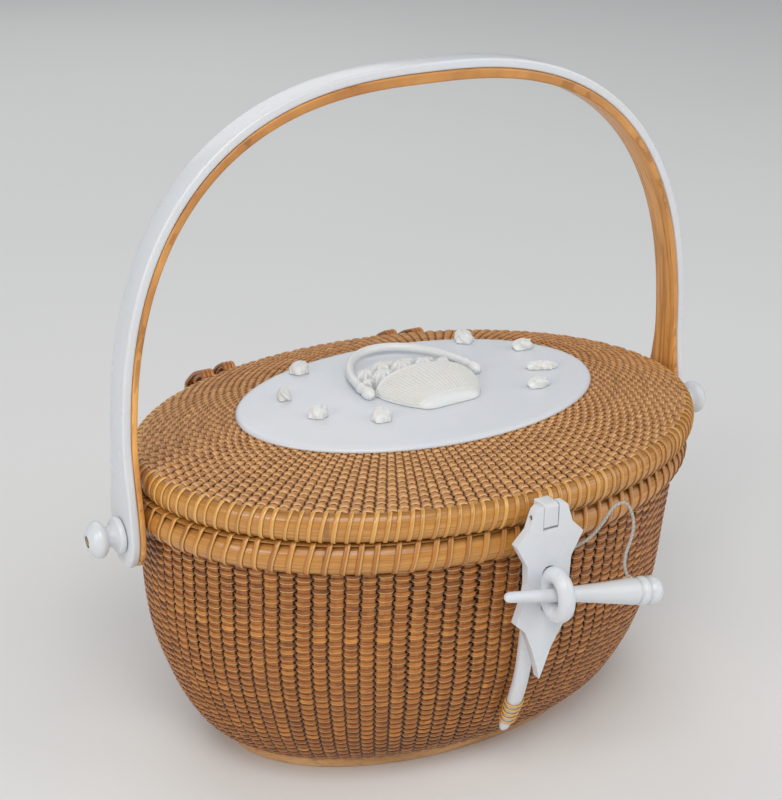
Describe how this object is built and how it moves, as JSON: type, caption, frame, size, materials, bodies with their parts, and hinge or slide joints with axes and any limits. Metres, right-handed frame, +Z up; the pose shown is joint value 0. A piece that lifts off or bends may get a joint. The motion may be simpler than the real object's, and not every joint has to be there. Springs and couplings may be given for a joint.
{
  "type": "nantucket basket",
  "caption": "Oval woven cane purse basket with a domed hinged lid, carved plaque, swing handle on turned knobs, and a hasp closed by a peg on a cord.",
  "frame": {"origin": "centre of the base's underside, on the surface the basket stands on", "axes": "+X along the long axis to the right as seen from the clasp, +Y from the clasp to the hinges, +Z up"},
  "size_m": [0.277, 0.208, 0.2632],
  "materials": {
    "cane": "satin woven cane",
    "hoop_cane": "varnished split cane",
    "lacing_cane": "varnished binding cane",
    "oak": "oiled oak",
    "ivory": "polished ivory-coloured bone",
    "carved_ivory": "carved cream bone",
    "brass": "dull brass",
    "cord": "waxed twisted cord"
  },
  "bodies": {
    "basket": {"base_plate": "oak", "body_hinge_loop_left": "lacing_cane", "body_hinge_loop_right": "lacing_cane", "body_inner_hoop": "hoop_cane", "body_outer_hoop": "hoop_cane", "body_rim_strip": "hoop_cane", "body_shell": "cane", "catch_binding": "lacing_cane", "catch_rod": "ivory", "hinge_pin_left": "brass", "hinge_pin_right": "brass", "pivot_bush_left": "ivory", "pivot_bush_right": "ivory", "pivot_knob_left": "ivory", "pivot_knob_right": "ivory", "pivot_pin_left": "brass", "pivot_pin_right": "brass", "pivot_washer_left": "ivory", "pivot_washer_right": "ivory"},
    "lid": {"carved_basket": "carved_ivory", "carved_basket_bow": "carved_ivory", "carved_spray": "carved_ivory", "hasp_block": "ivory", "hasp_pin": "brass", "lid_hinge_loop_left_inner": "lacing_cane", "lid_hinge_loop_left_outer": "lacing_cane", "lid_hinge_loop_right_inner": "lacing_cane", "lid_hinge_loop_right_outer": "lacing_cane", "lid_inner_hoop": "hoop_cane", "lid_outer_hoop": "hoop_cane", "lid_plaque": "ivory", "lid_shell": "cane", "lid_wood_plate": "oak", "plaque_shell_1": "carved_ivory", "plaque_shell_2": "carved_ivory", "plaque_shell_3": "carved_ivory", "plaque_shell_4": "carved_ivory", "plaque_shell_5": "carved_ivory", "plaque_shell_6": "carved_ivory", "plaque_shell_7": "carved_ivory", "plaque_shell_8": "carved_ivory"},
    "handle": {"handle_ivory": "ivory", "handle_wood": "oak"},
    "hasp": {"catch_ring": "ivory", "hasp_plate": "ivory"},
    "peg": {"peg": "ivory", "peg_cord": "cord"}
  },
  "joints": [
    {"name": "handle_swing", "type": "hinge", "parent": "basket", "child": "handle", "pos_m": [0, 0, 0.103], "axis": [1, 0, 0], "range_deg": [-120, 120]},
    {"name": "lid_hinge", "type": "hinge", "parent": "basket", "child": "lid", "pos_m": [0, 0.091, 0.1137], "axis": [-1, 0, 0], "range_deg": [0, 20]},
    {"name": "hasp_swing", "type": "hinge", "parent": "lid", "child": "hasp", "pos_m": [-0.0051, -0.0972, 0.1241], "axis": [-1, 0, 0], "range_deg": [0, 150]},
    {"name": "peg_draw", "type": "slide", "parent": "hasp", "child": "peg", "axis": [0.9751, 0, -0.2215], "range_m": [0, 0.03]}
  ]
}
